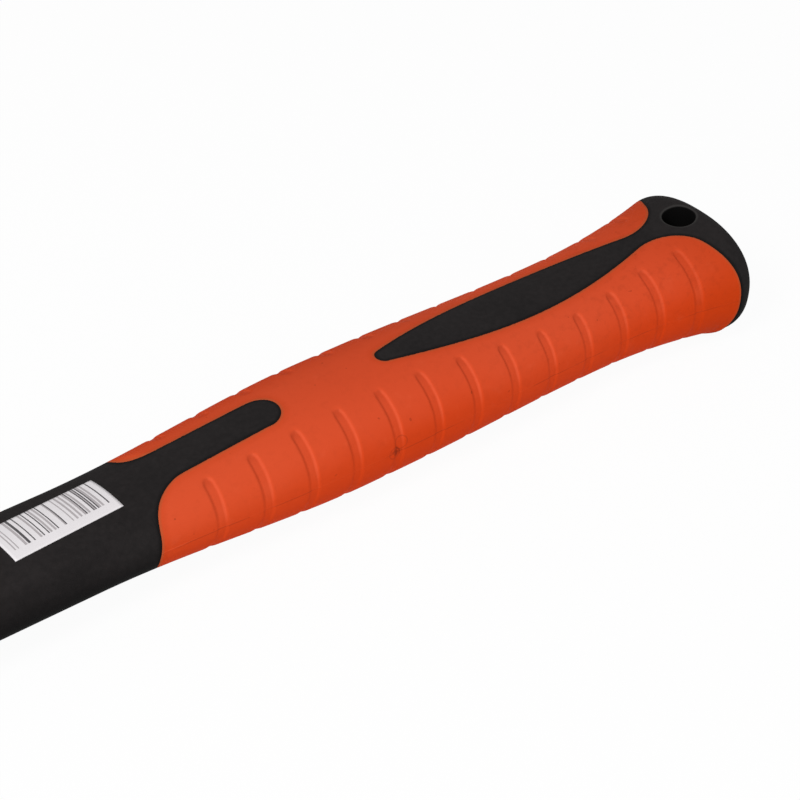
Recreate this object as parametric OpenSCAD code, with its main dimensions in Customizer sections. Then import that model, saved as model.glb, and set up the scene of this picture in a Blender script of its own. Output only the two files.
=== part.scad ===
// Machinist hammer with a glass-fibre core, a hard moulded jacket and a soft grip.
// It lies on its side as it would on a bench: the handle runs along X with the butt at +X, the
// head runs along Y with its striking face at -Y, and the cheek of the head rests on Z = 0.
// Stations along the handle are measured from the rim of the butt towards the head.

/* [Hammer] */
// Length over all, from the top of the head to the butt
overall_l = 350; // [330:1:400]
// Clearance between pieces that are moulded, cast or pressed together
fit_gap = 0.05; // [0.02:0.01:0.2]

/* [Head] */
// Side of the square section of the head
head_w = 33; // [30:0.5:40]
// From the axis of the handle to the striking face
face_reach = 60; // [50:1:75]
// From the axis of the handle to the edge of the peen
peen_reach = 70; // [62:1:85]
// Bevel along the four long edges
edge_bevel = 4; // [2:0.5:6]
// Bevel round the striking face
face_bevel = 2.5; // [1:0.5:4]
// Radius of the edge of the peen
peen_r = 4; // [2:0.5:5]
// How far the peen lies above the middle of the head
peen_lift = 4; // [0:0.5:8]
// From the axis to where the peen begins to narrow on the handle's side
peen_low_start = 20; // [18:1:30]
// From the axis to where the peen begins to narrow on the top
peen_top_start = 27; // [20:1:36]

/* [Eye] */
// Length of the eye at its waist, along the head
eye_w = 28; // [24:0.5:32]
// Width of the eye at its waist
eye_t = 18; // [16:0.5:22]
// How far each side of the eye opens from the waist to a mouth
eye_flare = 1.2; // [0.4:0.1:2]
// How deep the resin and the core lie below the top of the head
resin_recess = 1; // [0.5:0.1:3]

/* [Core] */
// Width of the oval glass-fibre core in the swing plane
core_w = 20; // [16:0.5:22]
// Thickness of the core
core_t = 12; // [9:0.5:13]
// Station at which the core ends inside the butt
core_end = 24; // [20:1:60]

/* [Jacket] */
// Width of the butt where its rim begins to round off
butt_w = 42.8; // [38:0.2:48]
// Thickness of the butt there
butt_t = 33; // [29:0.2:36]
// Radius of the rim of the butt
butt_r = 7.2; // [5:0.1:8]
// Height of the domed end of the butt
butt_dome = 1.2; // [0.5:0.1:3]
// Width at the waist behind the butt
waist_w = 34; // [31:0.2:36]
// Thickness at the waist
waist_t = 25.1; // [22:0.1:27]
// Length over which the butt flares out of the waist, seen from the flat side
flare_w_l = 45.3; // [35:0.1:60]
// Length over which the butt flares out of the waist, seen from the edge
flare_t_l = 62.6; // [45:0.1:75]
// Width at the swell of the grip
swell_w = 35.9; // [33:0.1:39]
// Thickness at the swell
swell_t = 26.8; // [24:0.1:30]
// Station of the swell
swell_s = 109.4; // [95:0.1:118]
// Width of the shank
shank_w = 29.5; // [26:0.1:32]
// Thickness of the shank before its flat fields are taken off
shank_t = 19.1; // [17:0.1:21]
// Thickness over the middle of the flat fields of the shank
field_t = 16.5; // [15.6:0.1:16.9]
// Radius to which the flat fields are crowned
field_r = 36; // [25:1:120]
// Station at which the grip begins to narrow to the shank
taper_s = 122.8; // [115:0.1:135]
// Length of that narrowing
taper_l = 71.5; // [55:0.1:80]
// Width of the collar under the head
collar_w = 36; // [33:0.5:40]
// Thickness of the collar
collar_t = 25.5; // [23:0.5:28]
// Length over which the shank swells into the collar
collar_l = 34; // [25:1:50]

/* [Hanging hole] */
// Diameter of the hole
hole_d = 8.6; // [6:0.1:9]
// Station of its axis
hole_s = 9.6; // [9:0.1:12]
// Rounding at both mouths of the hole
hole_fillet = 0.6; // [0.4:0.1:1.5]

/* [Black fields on the flat sides] */
// Station of the round end of the tongue
tongue_s = 138.5; // [130:0.1:150]
// Width of the tongue
tongue_w = 10.3; // [8:0.1:12]
// Station at which the soft grip begins
front_s = 180.3; // [174:0.1:186]
// Corner radius of the soft grip beside the tongue
front_r = 13.5; // [8:0.1:15]
// Station of the widest place of the lens
lens_s = 65.7; // [62:0.1:69]
// Width of the lens
lens_w = 14.4; // [12.6:0.1:16]
// Radius of the two long sides of the lens
lens_r = 177.4; // [165:0.2:210]
// Radius of the pointed end of the lens
lens_tip_r = 2.6; // [1.5:0.1:3]
// Radius at the neck between the lens and the butt
neck_r = 13.4; // [8:0.1:15]
// Where the rear edges of the grip would meet on the axis
lobe_s = 15.9; // [15:0.1:18]
// Slant of those edges
lobe_slant = 23.6; // [18:0.1:28]

/* [Soft grip] */
// Thickness of the soft grip
skin = 2.5; // [1.6:0.1:3]
// Number of grooves on each side
grooves = 13; // [8:1:13]
// Station of the first groove
groove_s = 19.4; // [19:0.1:24]
// Distance between grooves
groove_pitch = 12.04; // [9:0.02:12.1]
// Width of a groove
groove_w = 3.8; // [2.4:0.1:4.2]
// Depth of a groove
groove_d = 0.4; // [0.3:0.1:1]
// How far from the axis a groove begins on the flat side
groove_y = 9.4; // [8:0.1:11]
// Least width of plain grip between a groove and a black field
groove_land = 4.2; // [3:0.1:5]

/* [Label] */
// Length of the paper label
label_l = 28; // [20:0.5:40]
// Width of the label
label_w = 12.4; // [8:0.1:14]
// Thickness of the paper
label_thick = 0.15; // [0.1:0.05:0.3]
// Station of the end of the label near the grip
label_s = 183; // [183:0.1:200]
// How far the middle of the label lies off the axis
label_y = 0.7; // [-2:0.1:2]
// How far the label is turned from the axis
label_turn = 3.3; // [-6:0.1:6]

/* [Hidden] */
// Facets round the handle, along each curved outline and round each true circle
sides = 40;
arc_steps = 10;
$fn = 96;
// Sections round the rim, along the body and the collar, and ahead of and behind the grooves
rim_steps = 6;
body_steps = 24;
collar_steps = 8;
skin_steps = 6;
front_steps = 5;
// Sections of the domed end, as shares of the rim's section
dome_shares = [0.3, 0.6, 0.85];
// Exponents of the oval sections: 2 would be an ellipse
grip_square = 2.31;
shank_square = 2.15;
// Station of the top of the head, of its underside and of the axis of the eye
top_s = overall_l - butt_dome;
seat_s = top_s - head_w;
eye_s = top_s - head_w / 2;
// Station of the shoulder of the jacket, just clear of the head
shoulder_s = seat_s - fit_gap;
// Stations over which the flat fields run into the round grip, just clear of the label
field_run = 18;
label_clear = 0.2;
field_s = label_s - label_clear - label_w / 2 * abs(sin(label_turn));
field_run_s = field_s - field_run;
// Room that every cutter keeps beyond what it cuts
over = 1;
// Reach of a cutter across the whole handle
wide = collar_w + butt_w;
// Run of the end of a groove on the flat side, and the flat share of its floor
groove_run = 2;
groove_floor = 0.4;

// Smooth step from 0 to 1, and a parabola that starts level
function ease(u) = let (c = min(max(u, 0), 1)) c * c * (3 - 2 * c);
function bow(u) = let (c = max(u, 0)) c * c;
function signed_pow(v, e) = sign(v) * pow(abs(v), e);

// Half of one size of the handle at a station
function half_size(s, butt, flare_l, waist, swell, shank, collar) =
    let (flare = (butt - waist) / 2 * bow((flare_l - s) / (flare_l - butt_r)),
         belly = (swell - waist) / 2 * ease((s - flare_l) / (swell_s - flare_l)),
         taper = (swell - shank) / 2 * ease((s - taper_s) / taper_l),
         guard = (collar - shank) / 2 * ease((s - shoulder_s + collar_l) / collar_l))
    waist / 2 + flare + belly - taper + guard;
function rim_cut(s) = s >= butt_r ? 0 : butt_r - sqrt(max(0, butt_r * butt_r - pow(butt_r - s, 2)));
function half_w(s) = half_size(s, butt_w, flare_w_l, waist_w, swell_w, shank_w, collar_w) - rim_cut(s);
function half_t(s) = half_size(s, butt_t, flare_t_l, waist_t, swell_t, shank_t, collar_t) - rim_cut(s);
function squareness(s) =
    grip_square + (shank_square - grip_square) * ease((s - swell_s) / (field_s - swell_s));
// Share of the flat field, which leaves the round section ahead of the label and ends at the collar
function field_share(s) =
    let (on = ease((s - field_run_s) / (field_s - field_run_s)),
         off = ease((s - shoulder_s + collar_l) / (collar_l / 2)))
    on * (1 - off);
// Height of the crowned field at y, and of the surface that it leaves
function crown_z(y) = field_t / 2 - y * y / (2 * field_r);
function field_z(s, y) = half_t(s) + (crown_z(y) - half_t(s)) * field_share(s);
// Half width of the lens where a groove passes it
function lens_half(s) = lens_w / 2 - lens_r + sqrt(pow(lens_r, 2) - pow(min(abs(s - lens_s), lens_r), 2));
function groove_start(s) = max(groove_y, lens_half(s) + groove_land);

// One closed section, drawn in from the surface by inset; dip is the depth of a groove there
function section(s, inset, dip) =
    let (e = 2 / squareness(s),
         w = half_w(s) - inset,
         t = half_t(s) - inset)
    [for (j = [0 : sides - 1])
        let (a = 360 * (j + 0.5) / sides,
             y = signed_pow(cos(a), e),
             z = signed_pow(sin(a), e),
             cap = field_z(s, y * w) - inset,
             d = dip * ease((abs(y) * w - groove_start(s)) / groove_run))
        [-s, y * (w - d), max(-cap, min(cap, z * (t - d)))]];
// The domed end of the butt, as the rim's section drawn in to a share k
function dome_section(k) =
    let (rise = 1 - pow((k - dome_shares[0]) / (1 - dome_shares[0]), 2))
    [for (p = section(0, 0, 0)) [butt_dome * rise, p.y * k, p.z * k]];

// Stations of the sections, closest where the surface bends most
rim_rings = [for (i = [0 : rim_steps]) butt_r * (1 - cos(90 * i / rim_steps))];
body_rings = [for (i = [1 : body_steps]) butt_r + (field_s - butt_r) * i / body_steps];
collar_rings = [for (i = [0 : collar_steps]) shoulder_s - collar_l * (1 - i / collar_steps)];
skin_rings = [for (i = [1 : skin_steps]) butt_r + (groove_s - groove_w - butt_r) * i / skin_steps];
groove_rings = [for (i = [0 : grooves - 1], o = [-1, -groove_floor, groove_floor, 1])
    groove_s + groove_pitch * i + groove_w / 2 * o];
groove_dips = [for (i = [0 : grooves - 1], d = [0, 1, 1, 0]) d * groove_d];
last_groove = groove_rings[len(groove_rings) - 1];
front_rings = [for (i = [1 : front_steps]) last_groove + (front_s + over - last_groove) * i / front_steps];
// Highest place of the butt, which rests on the bench together with the head's cheek
butt_crest = max([for (s = rim_rings) half_t(s)]);
axis_z = max(head_w / 2, butt_crest);
axis_y = (face_reach - peen_reach) / 2;

// Solid through a row of sections
module loft(rings) {
    last = len(rings) - 1;
    walls = [for (i = [0 : last - 1], j = [0 : sides - 1])
        let (k = (j + 1) % sides, a = i * sides, b = a + sides)
        each [[a + j, b + k, b + j], [a + j, a + k, b + k]]];
    ends = [[for (j = [sides - 1 : -1 : 0]) j], [for (j = [0 : sides - 1]) last * sides + j]];
    polyhedron([for (r = rings) each r], concat(walls, ends), convexity = 8);
}

// Puts what is drawn about the axis of the handle into the frame of the part
module placed() {
    translate([overall_l / 2 - butt_dome, axis_y, axis_z])
        children();
}

// The whole handle below the head, without grooves
module handle_form() {
    loft(concat([for (k = dome_shares) dome_section(k)],
                [for (s = concat(rim_rings, body_rings, collar_rings)) section(s, 0, 0)]));
}

// The inner form that the soft grip is moulded on
module grip_seat(inset) {
    seat_rim = [for (i = [2 : rim_steps]) rim_rings[i]];
    loft([for (s = concat(seat_rim, body_rings)) section(s, inset, 0)]);
}

function arc(c, r, from, to) =
    [for (i = [0 : arc_steps]) let (a = from + (to - from) * i / arc_steps) c + r * [cos(a), sin(a)]];
function mirrored(half) =
    concat(half, [for (i = [len(half) - 1 : -1 : 0]) [half[i].x, -half[i].y]]);

// Outline of the black tongue and all of the shank ahead of the grip, grown by g
function tongue_outline(g) =
    let (r = tongue_w / 2 + g,
         corner = front_r - g,
         edge = front_s - g,
         tip = arc([tongue_s + tongue_w / 2, 0], r, 180, 90),
         bend = arc([edge - corner, r + corner], corner, -90, 0))
    mirrored(concat(tip, bend, [[edge, wide], [seat_s + over, wide]]));

// Outline of the black lens, its neck and all of the butt behind the grip, grown by g
function lens_outline(g) =
    let (big = lens_r + g,
         centre = [lens_s, lens_w / 2 - lens_r],
         small = lens_tip_r + g,
         tip_c = [lens_s + sqrt(pow(big - small, 2) - pow(centre.y, 2)), 0],
         tip_a = atan2(tip_c.y - centre.y, tip_c.x - centre.x),
         along = [-sin(lobe_slant), cos(lobe_slant)],
         across = [cos(lobe_slant), sin(lobe_slant)],
         bend_r = neck_r - g,
         on_line = [lobe_s, 0] + across * (g + bend_r),
         v = on_line - centre,
         reach = -v * along + sqrt(pow(v * along, 2) - v * v + pow(big + bend_r, 2)),
         bend_c = on_line + along * reach,
         neck_a = atan2(bend_c.y - centre.y, bend_c.x - centre.x),
         tip = arc(tip_c, small, 0, tip_a),
         side = arc(centre, big, tip_a, neck_a),
         bend = arc(bend_c, bend_r, neck_a - 180, lobe_slant - 180),
         leave = bend[arc_steps] + along * wide)
    mirrored(concat(tip, side, bend, [leave, [-wide, leave.y]]));

// Both black fields as upright prisms
module black_fields(g) {
    translate([0, 0, -wide / 2])
        linear_extrude(height = wide)
            scale([-1, 1]) {
                polygon(tongue_outline(g));
                polygon(lens_outline(g));
            }
}

// Oval of two circles, drawn about the axis of the handle between two stations
module oval_bar(w, t, from, to) {
    translate([-to, 0, 0])
        rotate([90, 0, 90])
            linear_extrude(height = to - from) {
                square([w - t, t], center = true);
                for (side = [-1, 1])
                    translate([side * (w - t) / 2, 0])
                        circle(d = t);
            }
}

// Half width of the eye at a station, drawn in by gap
function eye_half(s, gap) = eye_t / 2 - gap + eye_flare * abs(s - eye_s) / (head_w / 2);

// Tapered oval between two stations on one side of the waist of the eye
module eye_taper(from, to, gap) {
    r_from = eye_half(from, gap);
    r_to = eye_half(to, gap);
    for (side = [-1, 1])
        translate([-from, side * (eye_w - eye_t) / 2, 0])
            rotate([0, -90, 0])
                cylinder(h = to - from, r1 = r_from, r2 = r_to);
    rotate([90, 0, 0])
        linear_extrude(height = eye_w - eye_t, center = true)
            polygon([[-from, -r_from], [-to, -r_to], [-to, r_to], [-from, r_from]]);
}

// Where a line from p touches the circle about c
function touch(p, c, r, side) =
    let (v = p - c, a = atan2(v.y, v.x) + side * acos(r / norm(v)))
    c + r * [cos(a), sin(a)];

// Outline of the head seen from its cheek: x along the handle, y from face to peen
module head_outline() {
    h = head_w / 2;
    peen_c = [-peen_lift, peen_reach - peen_r];
    low = [h, peen_low_start];
    top = [-h, peen_top_start];
    polygon([[h, face_bevel - face_reach], low,
             touch(low, peen_c, peen_r, 1), touch(top, peen_c, peen_r, -1),
             top, [-h, face_bevel - face_reach],
             [face_bevel - h, -face_reach], [h - face_bevel, -face_reach]]);
    translate(peen_c)
        circle(r = peen_r);
}

// Outline of the head seen from its top, with the striking face bevelled alike
module head_top() {
    h = head_w / 2;
    polygon([[h, peen_reach], [-h, peen_reach],
             [-h, face_bevel - face_reach], [face_bevel - h, -face_reach],
             [h - face_bevel, -face_reach], [h, face_bevel - face_reach]]);
}

// Section of the head across its length, with bevelled edges
module head_section() {
    h = head_w / 2;
    b = h - edge_bevel;
    polygon([[h, -b], [h, b], [b, h], [-b, h], [-h, b], [-h, -b], [-b, -h], [b, -h]]);
}

// The forging without its eye, about the axis of the eye
module head_blank() {
    length = face_reach + peen_reach;
    corner = sqrt(2) * (head_w - edge_bevel) / 2 - face_bevel;
    intersection() {
        linear_extrude(height = head_w, center = true)
            head_outline();
        rotate([0, 90, 0])
            linear_extrude(height = head_w, center = true)
                head_top();
        translate([0, peen_reach, 0])
            rotate([90, 0, 0])
                linear_extrude(height = length)
                    head_section();
        translate([0, -face_reach, 0])
            rotate([-90, 0, 0])
                cylinder(h = length, r1 = corner, r2 = corner + length);
    }
}

module head() {
    color("dimgray")
        placed()
            difference() {
                translate([-eye_s, 0, 0])
                    head_blank();
                eye_taper(seat_s - over, eye_s, 0);
                eye_taper(eye_s, top_s + over, 0);
            }
}

module core_rod() {
    color("darkkhaki")
        placed()
            oval_bar(core_w, core_t, core_end, top_s - resin_recess);
}

module eye_resin() {
    color("saddlebrown")
        placed()
            difference() {
                eye_taper(eye_s + fit_gap, top_s - resin_recess, fit_gap);
                oval_bar(core_w + 2 * fit_gap, core_t + 2 * fit_gap, core_end, top_s + over);
            }
}

// Rounds one mouth of the hanging hole; drawn about the axis of the hole with the mouth at z = 0
module hole_rounding() {
    rotate_extrude()
        difference() {
            translate([0, -hole_fillet])
                square([hole_d / 2 + hole_fillet, hole_fillet + over]);
            translate([hole_d / 2 + hole_fillet, -hole_fillet])
                circle(r = hole_fillet);
        }
}

module handle_jacket() {
    mouth = half_t(hole_s);
    color("#262526")
        placed()
            difference() {
                union() {
                    intersection() {
                        handle_form();
                        black_fields(0);
                    }
                    grip_seat(skin);
                    eye_taper(shoulder_s, eye_s, fit_gap);
                }
                oval_bar(core_w + 2 * fit_gap, core_t + 2 * fit_gap, core_end - fit_gap, top_s);
                translate([-hole_s, 0, 0]) {
                    cylinder(h = butt_t + 2 * over, d = hole_d, center = true);
                    for (turn = [0, 180])
                        rotate([turn, 0, 0])
                            translate([0, 0, mouth])
                                hole_rounding();
                }
            }
}

module soft_grip() {
    plain = concat([for (i = [1 : rim_steps]) rim_rings[i]], skin_rings);
    color("#d24b28")
        placed()
            difference() {
                loft(concat([for (s = plain) section(s, 0, 0)],
                            [for (i = [0 : len(groove_rings) - 1])
                                section(groove_rings[i], 0, groove_dips[i])],
                            [for (s = front_rings) section(s, 0, 0)]));
                grip_seat(skin - fit_gap);
                black_fields(fit_gap);
            }
}

// The paper follows the crown of the field, so it is cut out of a bent strip wider than itself
module label() {
    bent = [for (i = [-arc_steps : arc_steps]) let (y = label_w * i / arc_steps) [y, crown_z(y)]];
    lifted = [for (i = [len(bent) - 1 : -1 : 0]) bent[i] + [0, label_thick]];
    color("white")
        placed()
            intersection() {
                translate([-label_s - label_l / 2, label_y, 0])
                    rotate([0, 0, label_turn])
                        translate([-label_l / 2, -label_w / 2, 0])
                            cube([label_l, label_w, field_t]);
                translate([-label_s - label_l - over, 0, 0])
                    rotate([90, 0, 90])
                        linear_extrude(height = label_l + 2 * over)
                            polygon(concat(bent, lifted));
            }
}

head();
core_rod();
eye_resin();
handle_jacket();
soft_grip();
label();
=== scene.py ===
import math

import bmesh
import bpy
import numpy as np
from mathutils import Matrix, Vector
from mathutils.kdtree import KDTree


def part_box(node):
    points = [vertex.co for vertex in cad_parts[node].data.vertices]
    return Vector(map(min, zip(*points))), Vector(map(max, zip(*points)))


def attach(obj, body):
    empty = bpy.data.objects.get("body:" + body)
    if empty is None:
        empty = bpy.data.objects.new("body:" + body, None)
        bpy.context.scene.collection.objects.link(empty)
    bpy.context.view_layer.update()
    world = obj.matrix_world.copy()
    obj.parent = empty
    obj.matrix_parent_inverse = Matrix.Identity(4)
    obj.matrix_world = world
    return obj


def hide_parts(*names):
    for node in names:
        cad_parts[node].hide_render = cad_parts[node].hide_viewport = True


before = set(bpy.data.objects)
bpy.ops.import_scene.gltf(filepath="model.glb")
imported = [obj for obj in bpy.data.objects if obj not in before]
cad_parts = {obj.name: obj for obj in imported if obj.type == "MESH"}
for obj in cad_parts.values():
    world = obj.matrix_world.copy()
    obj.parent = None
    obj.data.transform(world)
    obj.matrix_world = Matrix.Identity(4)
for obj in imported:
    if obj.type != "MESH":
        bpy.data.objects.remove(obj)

mm = 0.001
fineSteps, halvings = 240, 50  # points along a measured curve, and steps of a search
weld = {"near": 2e-6, "thin": 1e-7}  # metres: points this close become one, edges this short go
farAway = 9.0  # millimetres, past every mark that follows the seam
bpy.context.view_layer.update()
jacketLow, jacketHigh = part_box("handle_jacket")
headLow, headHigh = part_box("head")
scene = bpy.context.scene
print("frame loaded")

# The form of the handle. Stations run along its axis from the rim of the butt, in millimetres.
form = {
    "buttW": 42.8, "buttT": 33.0, "buttR": 7.2, "dome": 1.2,  # flared butt
    "waistW": 34.0, "waistT": 25.1, "flareW": 45.3, "flareT": 62.6,
    "swellW": 35.9, "swellT": 26.8, "swellS": 109.4,  # swell under the palm
    "shankW": 29.5, "shankT": 19.1, "taperS": 122.8, "taperL": 71.5,
    "collarW": 36.0, "collarT": 25.5, "collarL": 34.0,  # collar under the head
    "fieldT": 16.5, "fieldS": 182.4, "fieldRun": 18.0,  # flat fields of the shank
    "fieldR": 36.0, "fieldEdge": 0.4,  # their crown and the softness of their edge
    "gripSquare": 2.31, "shankSquare": 2.15,  # 2 would be an ellipse
    "fitGap": 0.05,
}
axis = Vector((jacketHigh.x - form["dome"] * mm, (jacketLow.y + jacketHigh.y) / 2,
               (jacketLow.z + jacketHigh.z) / 2))
shoulderS = (axis.x - headHigh.x) / mm - form["fitGap"]


def ease(u):
    c = np.clip(u, 0, 1)
    return c * c * (3 - 2 * c)


def abreast(*blocks):
    return np.concatenate(blocks, axis=1)


def signedPower(v, e):
    return np.sign(v) * np.abs(v) ** e


def collarShare(s, length):
    return ease((s - shoulderS + form["collarL"]) / length)


def halfSize(s, way):  # way is W across the flat side, T through it
    butt, waist, swell = form["butt" + way] / 2, form["waist" + way] / 2, form["swell" + way] / 2
    shank, collar, flare = form["shank" + way] / 2, form["collar" + way] / 2, form["flare" + way]
    r = form["buttR"]
    out = np.maximum(0, (flare - s) / (flare - r))
    rim = np.maximum(0, r - s)
    return (waist + (butt - waist) * out ** 2
            + (swell - waist) * ease((s - flare) / (form["swellS"] - flare))
            - (swell - shank) * ease((s - form["taperS"]) / form["taperL"])
            + (collar - shank) * collarShare(s, form["collarL"])
            - r + np.sqrt(np.maximum(0, r * r - rim * rim)))


def squareness(s):
    share = ease((s - form["swellS"]) / (form["fieldS"] - form["swellS"]))
    return form["gripSquare"] + (form["shankSquare"] - form["gripSquare"]) * share


def fieldShare(s):  # 1 where the shank has its flat fields
    on = ease((s - form["fieldS"] + form["fieldRun"]) / form["fieldRun"])
    return on * (1 - collarShare(s, form["collarL"] / 2))


def softMin(a, b, k):
    h = np.maximum(k - np.abs(a - b), 0) / np.maximum(k, 1e-9)
    return np.minimum(a, b) - h * h * k / 4


def sectionPoint(s, angle, inset):
    power = 2 / squareness(s)
    share = fieldShare(s)
    halfT = halfSize(s, "T")
    y = signedPower(np.cos(angle), power) * (halfSize(s, "W") - inset)
    z = np.abs(signedPower(np.sin(angle), power)) * (halfT - inset)
    crown = form["fieldT"] / 2 - y * y / (2 * form["fieldR"])
    cap = halfT + (crown - halfT) * share - inset
    return y, np.sign(np.sin(angle)) * softMin(z, cap, form["fieldEdge"] * share)


def angleAt(s, y):  # angle of the section at which it is y wide
    return np.arccos(np.clip(y / halfSize(s, "W"), 0, 1) ** (squareness(s) / 2))


def toPart(s, y, z):
    return np.stack([axis.x - s * mm, axis.y + y * mm, axis.z + z * mm], axis=-1)


# The seam between hard jacket and soft grip, seen from the flat side as (station, half width).
seam = {
    "tongueS": 137.95, "tongueW": 10.06, "tongueGrow": 0.2, "frontS": 179.8, "frontR": 12.4,
    "lensS": 65.6, "lensW": 14.5, "lensR": 178.3, "lensTipR": 2.4,
    "neckR": 14.1, "lobeS": 16.0, "lobeSlant": 24.5,
    "underReach": 1.3, "underZ": 0.4, "farReach": -2.1,  # the front end underneath and on the far side
    "reachRun": 14.0, "farY": 5.0, "farRun": 8.0,
    "buttReach": -1.4, "buttS": 8.0, "buttRun": 7.0, "buttY": 9.0,  # the butt end on the far side
    "tipPoints": 60, "bendPoints": 80, "sidePoints": 300, "straightPoints": 60,
    "step": 0.6,  # spacing of the rows along the seam
}


def arcPoints(centre, radius, start, end, count):
    a = np.linspace(start, end, count)
    return np.stack([centre[0] + radius * np.cos(a), centre[1] + radius * np.sin(a)], axis=1)


def untilSide(point, far):  # follows point(u) until it leaves over the side of the handle
    low, high = 0.0, far
    for _ in range(halvings):
        mid = (low + high) / 2
        s, y = point(np.array(mid))
        low, high = (mid, high) if y < halfSize(s, "W") else (low, mid)
    u = low * (1 - np.linspace(1, 0, fineSteps) ** 2)
    return np.stack(point(u), axis=1)


def lensSeam():
    centre = np.array([seam["lensS"], seam["lensW"] / 2 - seam["lensR"]])
    tipReach = math.sqrt((seam["lensR"] - seam["lensTipR"]) ** 2 - centre[1] ** 2)
    tip = np.array([seam["lensS"] + tipReach, 0])
    tipAngle = math.atan2(-centre[1], tip[0] - centre[0])
    slant = math.radians(seam["lobeSlant"])
    along = np.array([-math.sin(slant), math.cos(slant)])
    onLine = np.array([seam["lobeS"], 0]) + seam["neckR"] * np.array([math.cos(slant), math.sin(slant)])
    v = onLine - centre
    reach = -v @ along + math.sqrt((v @ along) ** 2 - v @ v + (seam["lensR"] + seam["neckR"]) ** 2)
    bend = onLine + along * reach
    neckAngle = math.atan2(bend[1] - centre[1], bend[0] - centre[0])
    curve = np.concatenate([
        arcPoints(tip, seam["lensTipR"], 0, tipAngle, seam["tipPoints"]),
        arcPoints(centre, seam["lensR"], tipAngle, neckAngle, seam["sidePoints"])[1:],
        arcPoints(bend, seam["neckR"], neckAngle - math.pi, slant - math.pi, seam["bendPoints"])[1:]])
    start = curve[-1]
    edge = untilSide(lambda u: (start[0] + along[0] * u, start[1] + along[1] * u), form["buttW"])
    return np.concatenate([curve, edge[1:]])[::-1]


def tongueSeam():
    r, corner = seam["tongueW"] / 2, seam["frontR"]
    tip = arcPoints((seam["tongueS"] + r, 0), r, math.pi, math.pi / 2, seam["bendPoints"])
    bendS = seam["frontS"] - corner
    wide = r + seam["tongueGrow"]
    count = seam["straightPoints"]
    straight = np.stack([np.linspace(tip[-1, 0], bendS, count), np.linspace(r, wide, count)], axis=1)
    bend = untilSide(lambda u: (bendS + corner * np.sin(u), wide + corner * (1 - np.cos(u))), math.pi / 2)
    return np.concatenate([tip, straight[1:], bend[1:]])


rearSeam, frontSeam = lensSeam(), tongueSeam()
rearS, tipS, tongueS, frontS = rearSeam[0, 0], rearSeam[-1, 0], frontSeam[0, 0], frontSeam[-1, 0]


def settle(s, y, z):  # moves both ends of the grip a little along the handle
    run = seam["reachRun"]
    share = ease((s - frontS + run) / run) * ease((frontS + run - s) / run)
    under = seam["underReach"] * ease(seam["underZ"] - z / halfSize(s, "T"))
    far = seam["farReach"] * ease((y - seam["farY"]) / seam["farRun"])
    butt = seam["buttReach"] * ease((y - seam["buttY"]) / seam["farRun"])
    butt = butt * ease(1 - np.abs(s - seam["buttS"]) / seam["buttRun"])
    moved = s + share * (under + far) + butt
    wider, thicker = (halfSize(moved, way) / halfSize(s, way) for way in "WT")
    return moved, y * wider, z * thicker


def seamAngle(s):  # where the seam crosses a section: 0 at the side, a right angle at the top
    y = np.where(s < (tipS + tongueS) / 2,
                 np.interp(s, rearSeam[:, 0], rearSeam[:, 1], right=0),
                 np.interp(s, frontSeam[:, 0], frontSeam[:, 1], left=0))
    angle = angleAt(s, y)
    return np.where((s <= rearS) | (s >= frontS), 0.0, angle)


def seamCurve(points):
    s, y = points[:, 0], points[:, 1]
    return np.stack([s, *sectionPoint(s, angleAt(s, y), 0)], axis=1)


def evenly(points, step):  # stations at even steps along the seam
    p = seamCurve(points)
    run = np.concatenate([[0], np.cumsum(np.linalg.norm(np.diff(p, axis=0), axis=1))])
    return np.interp(np.linspace(0, run[-1], max(2, round(run[-1] / step))), run, p[:, 0])


seamTree = KDTree(len(rearSeam) + len(frontSeam))
for number, point in enumerate(np.concatenate([seamCurve(rearSeam), seamCurve(frontSeam)])):
    seamTree.insert(point, number)
seamTree.balance()


def seamDistance(s, y, z):
    flat = np.stack([s.ravel(), np.abs(y).ravel(), np.abs(z).ravel()], axis=1)
    return np.array([seamTree.find(p)[2] for p in flat]).reshape(s.shape)


grip = {
    "skin": 2.5, "edge": 0.22,  # thickness, and rounding along the seam
    "grooves": 13, "grooveS": 19.5, "pitch": 12.03,
    "grooveW": 3.5, "grooveD": 0.44, "grooveFloor": 0.42,
    "grooveY": 8.6, "land": 3.8,  # where a groove ends on the flat side
    "sideShare": 0.45, "sideZ": 0.65,  # grooves are shallower round the narrow side
    "fan": 0.009, "fanS": 108.0,  # and spread a little there
    "underLean": 0.025, "underS": 25.0, "underZ": 0.78,  # and lean towards the head underneath
    "underBow": 1.4,
    "farShare": 0.58,  # shallower on the far side
    "flash": 0.04, "flashW": 0.22,  # ridge along the parting line
    "frontFlash": 0.1, "frontFlashS": 175.0, "frontFlashL": 2.6,
    "lip": 0.55, "lipS": 7.5, "lipZ": 11.5,  # flash at the butt end, low on one side
    "lipL": 3.2, "lipW": 1.8,
    "columns": 38, "innerColumns": 7,  # of the mesh round a quarter, outside and inside
    "fromSeam": [0, 0.03, 0.07, 0.12, 0.2, 0.35, 0.6, 1.0],  # columns that follow the seam
    "fromSide": [0, 0.06, 0.12, 0.2, 0.32, 0.5, 0.8],  # and the parting line
    "grooveRows": (-2.8, 4.61, 0.2), "rowStep": 1.0,  # rows across a groove, and along all the grip
    "nearTip": [0.03, 0.06, 0.1, 0.16, 0.25, 0.45],  # rows by the tips of the black fields
    "rowGap": 0.035,
}


def grooveMiddle(s):  # station of the nearest groove
    number = np.clip(np.round((s - grip["grooveS"]) / grip["pitch"]), 0, grip["grooves"] - 1)
    return grip["grooveS"] + grip["pitch"] * number


def grooveStart(s):  # how far out on the flat side that groove begins
    away = grooveMiddle(s) - seam["lensS"]
    lens = seam["lensW"] / 2 - seam["lensR"] + np.sqrt(seam["lensR"] ** 2 - away ** 2)
    return np.maximum(grip["grooveY"], lens + grip["land"]) + grip["grooveW"] / 2


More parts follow.
